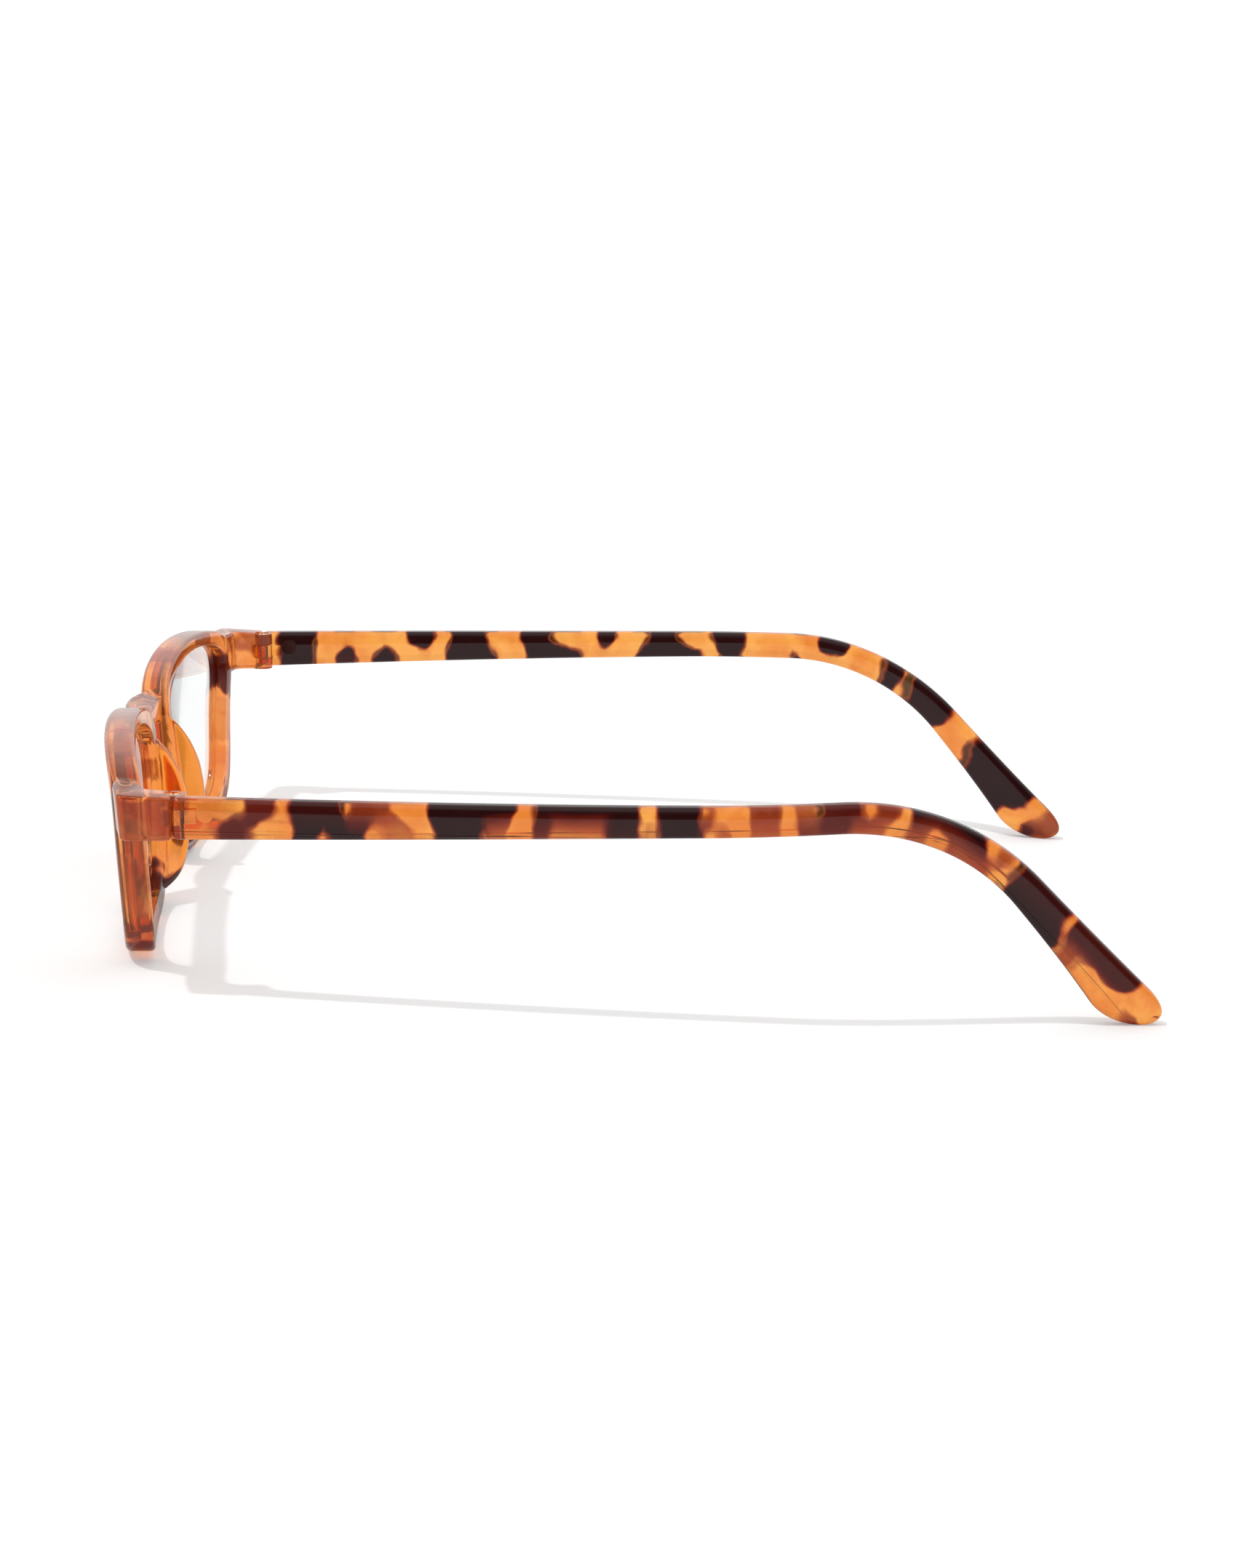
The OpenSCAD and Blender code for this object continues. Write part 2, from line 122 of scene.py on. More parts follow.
class HingeSizes(bpy.types.PropertyGroup):
    """Sizes of the hinges and their screws"""

    axis_in: length("Axis place", "From the outer face to the hinge axis", 3.3)
    axis_y: length("Axis depth", "Hinge axis behind the split", 0.1)
    knuckle_r: length("Knuckle radius", "Radius of the hinge knuckles", 1.6)
    tongue_h: length("Tongue height", "Height of the temple's middle knuckle", 1.9)
    split: length("Split", "Gap at the split between the end piece and the temple", 0.22)
    gap: length("Knuckle gap", "Clearance around and between the knuckles", 0.12)
    shank_r: length("Shank radius", "Radius of the screw's shank", 0.6)
    head_r: length("Head radius", "Radius of the screw's head", 1.05)
    head_h: length("Head height", "Depth of the recess for the screw's head", 0.6)
    screw_gap: length("Screw gap", "Radial clearance around the screw", 0.05)


class TempleSizes(bpy.types.PropertyGroup):
    """Sizes of the temples"""

    run: length("Run", "Length along Y, from the split to the end of the tip's middle", 128.09)
    thick: length("Thickness", "Thickness of a temple", 3)
    hinge_h: length("Hinge height", "Height of a temple at the hinge", 5.6)
    waist_h: length("Waist height", "Height of a temple where it is narrowest", 4)
    tip_h: length("Tip height", "Height of a temple across its tip", 8)
    tip_round: length("Tip round", "Length over which the tip is rounded", 5.6)
    slant: share("Slant", "How much further the tip's upper edge reaches, as a share of its height", 0.72)
    slant_run: length("Slant run", "Length over which the slant grows", 22)
    bend_y: length("Bend place", "Where the bend over the ear begins", 86.7)
    bend_r: length("Bend radius", "Radius of the bend over the ear", 33.3)
    drop: angle("Drop", "Drop of the tip against the straight run", 49.0)
    rise: length("Rise", "Rise of the straight run to the bend", 0.26)
    bow: length("Bow", "Outward bow over the cheek", 3.59)
    bow_y: length("Bow place", "Where a temple stands out most", 70)
    tuck: length("Tuck", "Inward bend of the tip, against its bow", 12.4)
    edge: length("Edge round", "Radius of a temple's edges", 0.6)
    crown: length("Crown", "How far the faces fall back from their middle to their edges", 0.35)


class Finish(bpy.types.PropertyGroup):
    """Colours of the plastic, the lenses and the screws"""

    amber: colour("Amber", "Clear amber of the tortoiseshell plastic", (1.0, 0.43, 0.085))
    front_amber: colour("Front amber", "Clear amber of the front, a little redder", (1.0, 0.375, 0.095))
    honey: colour("Honey", "What the amber is darkened by where it is cloudy", (0.86, 0.58, 0.44))
    russet: colour("Russet", "Light brown patches", (0.62, 0.13, 0.035))
    brown: colour("Red brown", "Border of the dark patches", (0.2, 0.018, 0.008))
    dark: colour("Dark brown", "Middle of the dark patches", (0.03, 0.002, 0.003))
    pad: colour("Nose pads", "Clear orange of the nose pads", (1.0, 0.33, 0.045))
    lens: colour("Lenses", "Faint tint of the lenses", (0.965, 0.99, 0.985))
    brass: colour("Screws", "Bright brass of the screws", (0.78, 0.60, 0.36))
    floor: colour("Floor", "Plain pale floor", (0.8, 0.8, 0.8))


class StageSizes(bpy.types.PropertyGroup):
    """Camera and lights"""

    distance: length("Camera distance", "From the camera to the point it looks at", 545.63)
    aim_y: length("Aim depth", "Point the camera looks at, behind the hinge split", 59.43)
    aim_z: length("Aim height", "Point the camera looks at, against the hinge split", -11.93)
    azimuth: angle("Azimuth", "Camera's turn around the glasses", 89.62)
    elevation: angle("Elevation", "Camera's height above the temples' own level", 11.70)
    roll: angle("Roll", "Camera's roll", 0.106)
    focal: FloatProperty(
        name="Focal length", description="Lens of the camera on a 36 mm sensor", default=85.04
    )
    sun: FloatProperty(name="Sun", description="Strength of the soft lamp far overhead", default=0.95)
    sun_width: angle("Lamp width", "How wide the lamp looks from the glasses", 2)
    sky: share("Sky", "Strength of the light from straight above", 0.85)
    backdrop: share("Backdrop", "Strength of the light from the pale backdrop behind the glasses", 0.95)
    room: share("Room", "Strength of the light from the room on the camera's side", 0.12)
    floor_glow: share("Floor glow", "What makes up the floor's white where the camera sees it", 0.26)


# Where everything stands: the frame's hinge gives the tilt at which the glasses rest on the table


def settings():
    s = bpy.context.scene
    return s.glasses_front, s.glasses_hinge, s.glasses_temple, s.glasses_finish, s.glasses_stage


def hinge_axis(f, h):
    return Vector((f.width / 2 - h.axis_in, h.axis_y, -f.end_h / 2))


def resting(f, h):
    """From the glasses' own axes, with the top of the split at height 0, to the table."""
    joint = next(j for j in frame["joints"] if j["child"] == "left_arm")
    pitch = atan2(-joint["axis"][1], joint["axis"][2])
    turn = Matrix.Rotation(pitch, 4, "X")
    return Matrix.Translation(Vector(joint["pos_m"]) - turn @ hinge_axis(f, h)) @ turn


def face_y(f, x, z):
    """Depth of the front's forward face at a place seen from the front."""
    wrap = (f.wrap_r - sqrt(f.wrap_r**2 - (x - f.wrap_x) ** 2)) / cos(f.lean)
    return wrap - f.ahead - z * tan(f.lean)


def rim_place(f, turn, g):
    """Place on the opening's outline in a direction, moved outwards by g, seen from the front."""
    a = turn + radians(7) * sin(4 * turn)
    n = f.brow_square if sin(a) > 0 else f.chin_square
    k = (abs(cos(a)) ** n + abs(sin(a)) ** n) ** (1 / n)
    sx, sz = cos(a) / k, sin(a) / k
    fall = f.brow_bow if sin(a) > 0 else f.chin_bow
    gx = g * (1 + f.rim_side / f.rim_w * max(sx, 0) ** 2)
    top = max(min(sin(a) * 6 + 0.5, 1), 0)
    gz = g * (1 + (f.brow_w / f.rim_w - 1) * top)
    x = f.open_x + (f.open_w / 2 + gx) * sx * (1 + f.rim_taper * sz) + f.rim_skew * sz + f.rim_lean * sz**2
    return x, f.open_z + (f.open_h / 2 + gz) * sz - fall * sx**2 * sz


# Mesh helpers


def outline(bm, points):
    """A face from the few corners of a section."""
    return bm.faces.new([bm.verts.new(p) for p in points])


def round_corners(bm, corners, radius, segments):
    bmesh.ops.bevel(
        bm, geom=corners, offset=radius, affect="VERTICES", segments=segments, profile=0.5, material=-1,
        offset_type="OFFSET",
    )


def open_section(bm):
    """Leaves the section's edges only, so that no wall is left inside."""
    bmesh.ops.delete(bm, geom=bm.faces[:], context="FACES_ONLY")
    return bm.verts[:] + bm.edges[:]


def swept(bm, steps, step):
    """Draws the section out in straight steps, and closes both ends."""
    bmesh.ops.spin(bm, geom=bm.faces[:], cent=(0, 0, 0), axis=(0, 0, 1), dvec=step, angle=0, steps=steps)


def turned(bm, geom, axis, steps):
    """One full turn of a section around an axis through the origin."""
    bmesh.ops.spin(
        bm, geom=geom, cent=(0, 0, 0), axis=axis, dvec=(0, 0, 0), angle=2 * pi, steps=steps, use_merge=True
    )


def set_right(bm):
    bmesh.ops.remove_doubles(bm, verts=bm.verts, dist=0.002 * MM)
    bmesh.ops.recalc_face_normals(bm, faces=bm.faces)


def mirrored(bm):
    bmesh.ops.scale(bm, vec=(-1, 1, 1), verts=bm.verts)
    bmesh.ops.reverse_faces(bm, faces=bm.faces)


def shape(name, bm, place, mirror=False):
    """An object of that mesh, put on the table."""
    if mirror:
        mirrored(bm)
    bm.transform(place)
    mesh = bpy.data.meshes.new(name)
    bm.to_mesh(mesh)
    bm.free()
    obj = bpy.data.objects.new(name, mesh)
    bpy.context.scene.collection.objects.link(obj)
    return obj


def join(obj, others, operation):
    """Unites obj with other shapes, or cuts them out of it."""
    for other in others:
        mod = obj.modifiers.new("Join", "BOOLEAN")
        mod.operation = operation
        mod.solver = "MANIFOLD"
        mod.object = other
    depsgraph = bpy.context.evaluated_depsgraph_get()
    mesh = bpy.data.meshes.new_from_object(obj.evaluated_get(depsgraph))
    obj.modifiers.clear()
    old, obj.data = obj.data, mesh
    bpy.data.meshes.remove(old)
    mesh.name = obj.name
    for other in others:
        bpy.data.objects.remove(other)


def finished(obj, material, body, slot, *nodes):
    """Smooth, dressed and riding on its body in place of the frame's node."""
    obj.data.shade_smooth()
    obj.data.set_sharp_from_angle(angle=radians(38))
    obj.data.materials.clear()
    obj.data.materials.append(material)
    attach(obj, body)
    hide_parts(*nodes)


def rod(radius, z0, z1, axis, name, place, mirror):
    """Upright cylinder on the hinge axis."""
    bm = bmesh.new()
    bmesh.ops.create_cone(
        bm, cap_ends=True, segments=96, radius1=radius, radius2=radius, depth=z1 - z0,
        matrix=Matrix.Translation((axis.x, axis.y, (z0 + z1) / 2)),
    )
    return shape(name, bm, place, mirror)


# Front


def rim_mesh(f, gap):
    """A section with its groove, spun to a ring, and the ring bent to the rim's outline."""
    bm = bmesh.new()
    hoop = f.open_w / 2
    groove_end = f.groove_at + 1.2 * MM + gap
    g0 = f.groove_at - gap
    corners = [(0, 0), (f.rim_w, 0), (f.rim_w, f.rim_d), (0, f.rim_d), (0, groove_end),
               (f.groove_d, groove_end), (f.groove_d, g0), (0, g0)]
    face = outline(bm, [(hoop + g, d, 0) for g, d in corners])
    outer = [v for v in face.verts if v.co.x > hoop + f.rim_w * 0.9]
    lining = [v for v in face.verts if v.co.x < hoop + 0.01 * MM]
    inner = [v for v in lining if v.co.y < 0.01 * MM or v.co.y > f.rim_d * 0.99]
    round_corners(bm, outer, f.rim_round, 6)
    round_corners(bm, inner, f.lip, 4)
    section = open_section(bm)
    turned(bm, section, (0, 1, 0), 240)
    for v in bm.verts:
        turn = atan2(v.co.z, v.co.x)
        x, z = rim_place(f, turn, sqrt(v.co.x**2 + v.co.z**2) - hoop)
        v.co = (x, face_y(f, x, z) + v.co.y, z)
    set_right(bm)
    return bm


def bridge_mesh(f):
    """A rounded bar between the rims, bowed forward, with its top falling to the back."""
    half = f.open_x - f.open_w / 2 - f.rim_w * 0.6
    r = 0.5 * MM
    bm = bmesh.new()
    corners = [(-half, -1, -1), (-half, 1, -1), (-half, 1, 1), (-half, -1, 1)]
    outline(bm, [(x, y * f.bridge_d / 2, z * f.bridge_h / 2) for x, y, z in corners])
    round_corners(bm, bm.verts[:], r, 5)
    swept(bm, 32, (half / 16, 0, 0))
    for v in bm.verts:
        u = min(abs(v.co.x) / half, 1)
        top = f.bridge_z
        bottom = top - f.bridge_h - 2.2 * MM * u**3
        front = 0.5 * MM - f.ahead - f.bridge_out * (1 - min(abs(v.co.x) / (7 * MM), 1) ** 2.5)
        back = 0.5 * MM - f.ahead + f.bridge_d
        up = v.co.z / f.bridge_h + 0.5
        rear = v.co.y / f.bridge_d + 0.5
        v.co.y = front + (back - front) * rear
        v.co.z = bottom + (top - bottom) * up - 0.9 * MM * rear * up**3
    set_right(bm)
    return bm


def pad_mesh(f):
    """Nose pad: a fin that follows the rim's nose side from behind, with a fillet where it leaves the rim."""
    bm = bmesh.new()
    steps = 64
    w, flare = f.pad_t, 0.9 * MM
    outline(bm, [(0, 0, 0), (w, 0, 0), (w, w * 2, 0), (0, w * 2, 0)])
    tip = [v for v in bm.verts if v.co.y > w]
    round_corners(bm, tip, 0.3 * w, 6)
    sides = [e for e in bm.edges if abs(e.verts[0].co.x - e.verts[1].co.x) < 0.01 * MM]
    bmesh.ops.subdivide_edges(bm, edges=[e for e in sides if e.calc_length() > w * 0.5], cuts=11)
    swept(bm, steps, (0, 0, 1 * MM))
    for v in bm.verts:
        u = -0.985 * cos(pi * v.co.z / (steps * MM))
        turn = f.pad_turn - f.pad_span * u
        x, z = rim_place(f, turn, f.rim_w * 0.5)
        rim_back = face_y(f, x, z) + f.rim_d
        root = rim_back - 1.4 * MM
        tip = max(3.9 * MM - f.ahead + f.pad_out * (1 - u * u) ** 0.8, root + 1 * MM)
        y = root + (tip - root) * v.co.y / (w * 2)
        near = max(min((y - rim_back + 0.2 * MM) / flare, 1), 0)
        grown = min((tip - rim_back) / (3 * MM), 1) if tip > rim_back else 0
        out = flare * (1 - sqrt(1 - (1 - near) ** 2)) * grown
        side = 0.5 - v.co.x / w
        g = f.rim_w - 0.3 * MM - w * 0.5 + side * (w * (1 - 0.3 * v.co.y / (w * 2)) + 2 * out)
        x, z = rim_place(f, turn, g)
        v.co = (x, y, z)
    set_right(bm)
    return bm


def end_mesh(f):
    """End piece: its plan drawn up to its height, its edges rounded, and its front bent to the face."""
    x1 = f.width / 2
    x0 = x1 - f.end_t
    root = f.open_x + f.open_w / 2 + f.rim_w * 1.25
    middle = -f.end_h / 2

    def front(x, inset):
        return face_y(f, x, middle) + inset

    back = f.rim_d - 0.3 * MM
    bm = bmesh.new()
    span = x1 - root
    plan = [(root, front(root, 0.7 * MM)), (root + 0.32 * span, front(root + 0.32 * span, 0.3 * MM)),
            (root + 0.5 * span, front(root + 0.5 * span, 0.05 * MM)),
            (root + 0.75 * span, front(root + 0.75 * span, 0)), (x1, front(x1, 0)), (x1, 0), (x0, 0),
            (x0, front(x0, back)), (root, front(root, back - 0.2 * MM))]
    outline(bm, [(x, y, -f.end_h) for x, y in plan])
    verts = bm.verts[:]
    round_corners(bm, [verts[4]], 0.9 * MM, 8)
    rear = [v for v in bm.verts if abs(v.co.y) < 0.01 * MM]
    round_corners(bm, rear, 0.6 * MM, 5)
    inner = [v for v in bm.verts if abs(v.co.x - x0) < 0.01 * MM and v.co.y < -2 * MM]
    round_corners(bm, inner, 1.2 * MM, 6)
    top = bmesh.ops.extrude_face_region(bm, geom=bm.faces[:])
    raised = [v for v in top["geom"] if isinstance(v, bmesh.types.BMVert)]
    bmesh.ops.translate(bm, vec=(0, 0, f.end_h), verts=raised)
    set_right(bm)
    flat = [e for e in bm.edges if abs(e.verts[0].co.z - e.verts[1].co.z) < 0.01 * MM]
    bmesh.ops.bevel(bm, geom=flat, offset=f.end_round, affect="EDGES", segments=5, profile=0.5, material=-1)
    for v in bm.verts:
        ahead = max(min((-2.5 * MM - v.co.y) / (2.5 * MM), 1), 0)
        up = v.co.z / f.end_h + 1
        v.co.z += up**2 * (f.end_rise * (x1 - v.co.x) - f.end_fall * v.co.y)
        v.co.y -= ahead * (v.co.z - middle) * tan(f.lean)
    set_right(bm)
    return bm


def build_front(f, h, place, material):
    gap = 0.1 * MM
    axis = hinge_axis(f, h)
    bottom, tongue_top = -f.end_h, -(f.end_h - h.tongue_h) / 2
    tongue_bottom = tongue_top - h.tongue_h
    front = shape("front_moulding", bridge_mesh(f), place)
    added, cut = [], []
    for mirror in (False, True):
        added.append(shape("rim", rim_mesh(f, gap), place, mirror))
        added.append(shape("pad", pad_mesh(f), place, mirror))
        added.append(shape("end", end_mesh(f), place, mirror))
        added.append(rod(h.knuckle_r, bottom + 0.03 * MM, -0.02 * MM, axis, "knuckle", place, mirror))
        slot = (h.knuckle_r + h.gap, tongue_bottom - h.gap, tongue_top + h.gap)
        cut.append(rod(*slot, axis, "slot", place, mirror))
        cut.append(rod(h.shank_r + h.screw_gap, bottom + 0.8 * MM, 0.5 * MM, axis, "bore", place, mirror))
        cut.append(rod(h.head_r + h.screw_gap, -h.head_h, 2 * MM, axis, "recess", place, mirror))
    join(front, added, "UNION")
    join(front, cut, "DIFFERENCE")
    finished(front, material, "front", "front_plastic", "front_frame")


# Lenses


def lens_mesh(f):
    """A disc spun from its section, then moved to the opening's outline and the front's wrap."""
    edge, full, gap = 1.2 * MM, 0.45 * MM, 0.1 * MM
    bm = bmesh.new()
    radius = 10 * MM
    path = [bm.verts.new(p) for p in ((0, 0, 0), (radius, 0, 0), (radius, edge, 0), (0, edge, 0))]
    lines = [bm.edges.new((path[i], path[i + 1])) for i in range(3)]
    bmesh.ops.subdivide_edges(bm, edges=[lines[0], lines[2]], cuts=20)
    turned(bm, bm.verts[:] + bm.edges[:], (0, 1, 0), 180)
    set_right(bm)
    corner = [e for e in bm.edges if all(sqrt(v.co.x**2 + v.co.z**2) > radius * 0.999 for v in e.verts)
              and abs(e.verts[0].co.y - e.verts[1].co.y) < 0.01 * MM]
    bmesh.ops.bevel(bm, geom=corner, offset=0.12 * MM, affect="EDGES", segments=2, profile=0.5, material=-1)
    for v in bm.verts:
        rho = min(sqrt(v.co.x**2 + v.co.z**2) / radius, 1)
        ex, ez = rim_place(f, atan2(v.co.z, v.co.x), f.groove_d - gap)
        x = f.open_x + (ex - f.open_x) * rho
        z = f.open_z + (ez - f.open_z) * rho
        rear = v.co.y / edge
        v.co = (x, face_y(f, x, z) + f.groove_at + v.co.y + full * rear * (1 - rho**2), z)
    bmesh.ops.recalc_face_normals(bm, faces=bm.faces)
    return bm


# Temples


def temple_lengths(t):
    turn = t.bend_r * sin(t.drop)
    tip = (t.run - t.bend_y - turn) / cos(t.drop)
    bend = t.bend_r * t.drop
    return bend, t.bend_y + bend + tip


def ease(v):
    u = min(max(v, 0), 1)
    return u * u * (3 - 2 * u)


def temple_face(f, t, y):
    """Outer face of a temple, bowed over the cheek and tucked in at the tip."""
    bow = t.bow * (1 - (1 - min(y, t.bow_y) / t.bow_y) ** 2)
    return f.width / 2 + bow - t.tuck * ease((y - t.bow_y) / (t.run - t.bow_y) / 1.13)


def temple_mesh(f, h, t):
    """A rounded bar drawn out along the temple, then bent, narrowed at the waist and rounded at its ends."""
    bend, whole = temple_lengths(t)
    steps = 300
    start = h.split
    bm = bmesh.new()
    a, b = t.thick / 2, t.hinge_h / 2
    outline(bm, [(-a, 0, -b), (a, 0, -b), (a, 0, b), (-a, 0, b)])
    round_corners(bm, bm.verts[:], t.edge, 6)
    bmesh.ops.subdivide_edges(bm, edges=[e for e in bm.edges if e.calc_length() > t.thick * 0.4], cuts=5)
    swept(bm, steps, (0, (whole - start) / steps, 0))
    nose, tip = 0.6 * MM, t.tip_round
    middle = 0.05 * MM - f.end_h / 2
    for v in bm.verts:
        share_along = v.co.y / (whole - start)
        if share_along < 0.02:
            s = start + nose * (share_along / 0.02) * 1.3
        elif share_along > 0.9:
            s = whole - tip * 1.2 * (1 - sin((share_along - 0.9) / 0.1 * pi / 2))
        else:
            s = start + nose * 1.3 + (whole - tip * 1.2 - start - nose * 1.3) * (share_along - 0.02) / 0.88
        if s < t.bend_y:
            half = (t.hinge_h + (t.waist_h - t.hinge_h) * sin(pi / 2 * s / t.bend_y)) / 2
        else:
            half = (t.waist_h + (t.tip_h - t.waist_h) * ((s - t.bend_y) / (whole - t.bend_y)) ** 2.8) / 2
        x = v.co.x - copysign(t.crown, v.co.x) * (v.co.z / b) ** 2
        z = v.co.z
        z += copysign(1, z) * (half - b) if abs(z) > b - t.edge - 0.01 * MM else z * (half / b - 1)
        if s > whole - tip:
            k = max(sqrt(max(1 - ((s - whole + tip) / tip) ** 2, 0)), 0.08)
            x *= 0.3 + 0.7 * k
            z *= k
        slide = t.slant * z * ease((s - whole + t.slant_run) / t.slant_run)
        cut = nose * (1 - sqrt(1 - (max(start + nose - s, 0) / nose) ** 2))
        x *= 1 - 2 * cut / t.thick
        z *= 1 - 2 * cut / t.hinge_h
        turn = min(max((s - t.bend_y) / bend, 0), 1) * t.drop
        rest = max(s - t.bend_y - bend, 0)
        y = min(s, t.bend_y) + t.bend_r * sin(turn) + rest * cos(turn)
        level = middle + t.rise * min(s / t.bend_y, 1) - t.bend_r * (1 - cos(turn)) - rest * sin(turn)
        y += z * sin(turn) + slide * cos(turn)
        v.co = (temple_face(f, t, y) - t.thick / 2 + x, y, level + z * cos(turn) - slide * sin(turn))
    set_right(bm)
    return bm


def build_temple(name, f, h, t, place, material, mirror, body, node):
    axis = hinge_axis(f, h)
    tongue_top = -(f.end_h - h.tongue_h) / 2
    tongue_bottom = tongue_top - h.tongue_h
    temple = shape(name, temple_mesh(f, h, t), place, mirror)
    bm = bmesh.new()
    boss_at = Matrix.Translation((axis.x + 0.75 * MM, 2.1 * MM, axis.z))
    boss_size = Matrix.Diagonal((1.5 * MM, 2.2 * MM, 1.7 * MM, 1))
    bmesh.ops.create_cube(bm, size=1, matrix=boss_at @ boss_size)
    boss = shape("boss", bm, place, mirror)
    join(temple, [boss], "UNION")
    room = h.knuckle_r + h.gap
    upper = rod(room, tongue_top, tongue_top + 8 * MM, axis, "upper room", place, mirror)
    lower = rod(room, tongue_bottom - 8 * MM, tongue_bottom, axis, "lower room", place, mirror)
    join(temple, [upper, lower], "DIFFERENCE")
    join(temple, [rod(h.knuckle_r, tongue_bottom, tongue_top, axis, "tongue", place, mirror)], "UNION")
    bore_r = h.shank_r + h.screw_gap
    bore = rod(bore_r, tongue_bottom - 1 * MM, tongue_top + 1 * MM, axis, "bore", place, mirror)
    bm = bmesh.new()
    mark_y, mark_r, mark_depth = 4.4 * MM, 1.15 * MM, 0.15 * MM
    mark_x = temple_face(f, t, mark_y) - t.thick + mark_depth
    mark_at = Matrix.Translation((mark_x - 0.5 * MM, mark_y, axis.z + 0.45 * MM))
    bmesh.ops.create_cone(
        bm, cap_ends=True, segments=64, radius1=mark_r, radius2=mark_r, depth=1 * MM,
        matrix=mark_at @ Matrix.Rotation(pi / 2, 4, "Y"),
    )
    join(temple, [bore, shape("ejector mark", bm, place, mirror)], "DIFFERENCE")
    finished(temple, material, body, "temple_plastic", node)


# Screws


def screw_mesh(f, h):
    """A screw, spun from its outline, with a shallow dome and a chamfered end; its slot is cut afterwards."""
    axis = hinge_axis(f, h)
    head_z = -h.head_h + 0.03 * MM
    top = -0.07 * MM
    r, s = h.head_r, h.shank_r
    end_z = -f.end_h + 0.85 * MM
    profile = [(0, top), (r * 0.55, top - 0.02 * MM), (r * 0.9, top - 0.08 * MM), (r, top - 0.17 * MM),
               (r, head_z), (s, head_z), (s, -f.end_h + 1.0 * MM), (s - 0.15 * MM, end_z), (0, end_z)]
    bm = bmesh.new()
    path = [bm.verts.new((x, 0, z)) for x, z in profile]
    for a, b in zip(path, path[1:]):
        bm.edges.new((a, b))
    turned(bm, bm.verts[:] + bm.edges[:], (0, 0, 1), 64)
    bmesh.ops.translate(bm, vec=(axis.x, axis.y, 0), verts=bm.verts)
    set_right(bm)
    return bm


# Materials


def nodes_of(name):
    material = bpy.data.materials.new(name)
    material.use_nodes = True
    tree = material.node_tree
    shader = tree.nodes["Principled BSDF"]
    return material, tree, shader


def add(tree, kind, **values):
    """A shader node with its settings; names that are inputs are set as inputs."""
    node = tree.nodes.new(kind)
    for key, value in values.items():
        name = key.replace("_", " ").title() if key.replace("_", " ").title() in node.inputs else key
        if name in node.inputs:
            node.inputs[name].default_value = value
        else:
            setattr(node, key, value)
    return node


def maths(tree, operation, a, b=None, c=None, clamp=False):
    node = tree.nodes.new("ShaderNodeMath")
    node.operation = operation
    node.use_clamp = clamp
    for socket, value in zip(node.inputs, (a, b, c)):
        if value is None:
            continue
        if isinstance(value, (int, float)):
            socket.default_value = value
        else:
            tree.links.new(value, socket)
    return node.outputs[0]


def own_axes(tree, place):
    """Object coordinates, turned back into the glasses' own axes and in millimetres."""
    coordinates = tree.nodes.new("ShaderNodeTexCoord")
    mapping = tree.nodes.new("ShaderNodeMapping")
    back = place.inverted()
    mapping.inputs["Location"].default_value = back.to_translation() / MM
    mapping.inputs["Rotation"].default_value = back.to_euler()
    mapping.inputs["Scale"].default_value = (1 / MM,) * 3
    tree.links.new(coordinates.outputs["Object"], mapping.inputs["Vector"])
    return mapping.outputs["Vector"]


def noise(tree, vector, scale, detail=2.0, roughness=0.5, distortion=0.0):
    node = tree.nodes.new("ShaderNodeTexNoise")
    values = {"Scale": scale, "Detail": detail, "Roughness": roughness, "Distortion": distortion}
    for name, value in values.items():
        node.inputs[name].default_value = value
    tree.links.new(vector, node.inputs["Vector"])
    return node.outputs["Fac"]


# Patches along each temple, from the split: start, end and darkness, for its upper and its lower half
RIGHT_UPPER = (
    (3.2, 8.6, 1), (23.6, 28.3, 1), (30.9, 36.3, 1), (42.3, 47.2, 1), (54.8, 57.8, 1), (63.3, 68.3, 1),
    (73.8, 79, 1), (91.2, 96.3, 1), (101.2, 104.2, 1), (105.5, 111.3, 1), (115, 123.6, 1),
    (126.2, 128.5, 0.5),
)
RIGHT_LOWER = (
    (3, 8.3, 1), (12, 15.5, 0.95), (18.3, 21.8, 1), (30, 38.5, 1), (43, 52.5, 1), (61, 72.5, 1),
    (75.5, 78.2, 1), (86.3, 88.4, 1), (102, 104.4, 1), (106.2, 110.7, 1), (116, 122.4, 1),
    (125, 126.6, 0.9),
)
LEFT_UPPER = (
    (0.6, 2, 0.3), (9.5, 14, 0.8), (15.6, 22.4, 0.95), (23.4, 28.5, 0.6), (33, 44.5, 1), (47, 60.5, 1),
    (63, 68.2, 1), (68.9, 70.4, 0.35), (74.5, 78.6, 0.6), (80.5, 83, 0.4), (84, 89, 0.85),
    (91, 94, 0.65), (96, 105, 1), (107, 108.2, 0.4), (109, 115.5, 0.95), (116.8, 124.5, 0.9),
)
LEFT_LOWER = (
    (6.5, 10.5, 0.8), (15.8, 19.3, 1), (20.5, 25, 1), (27.5, 31.2, 0.25), (34, 40.2, 1),
    (41.2, 43, 0.15), (46.8, 48.6, 0.7), (49.6, 55.5, 0.12), (56.5, 60.3, 0.95), (61, 62.3, 0.15),
    (62.9, 69, 1), (70.7, 72, 0.35), (74.5, 79, 0.3), (81, 87, 0.75), (88, 92, 0.3), (95, 98, 0.35),
    (101, 107, 0.45), (109.5, 116.5, 1), (117.2, 119, 0.4), (126, 128, 0.5),
)
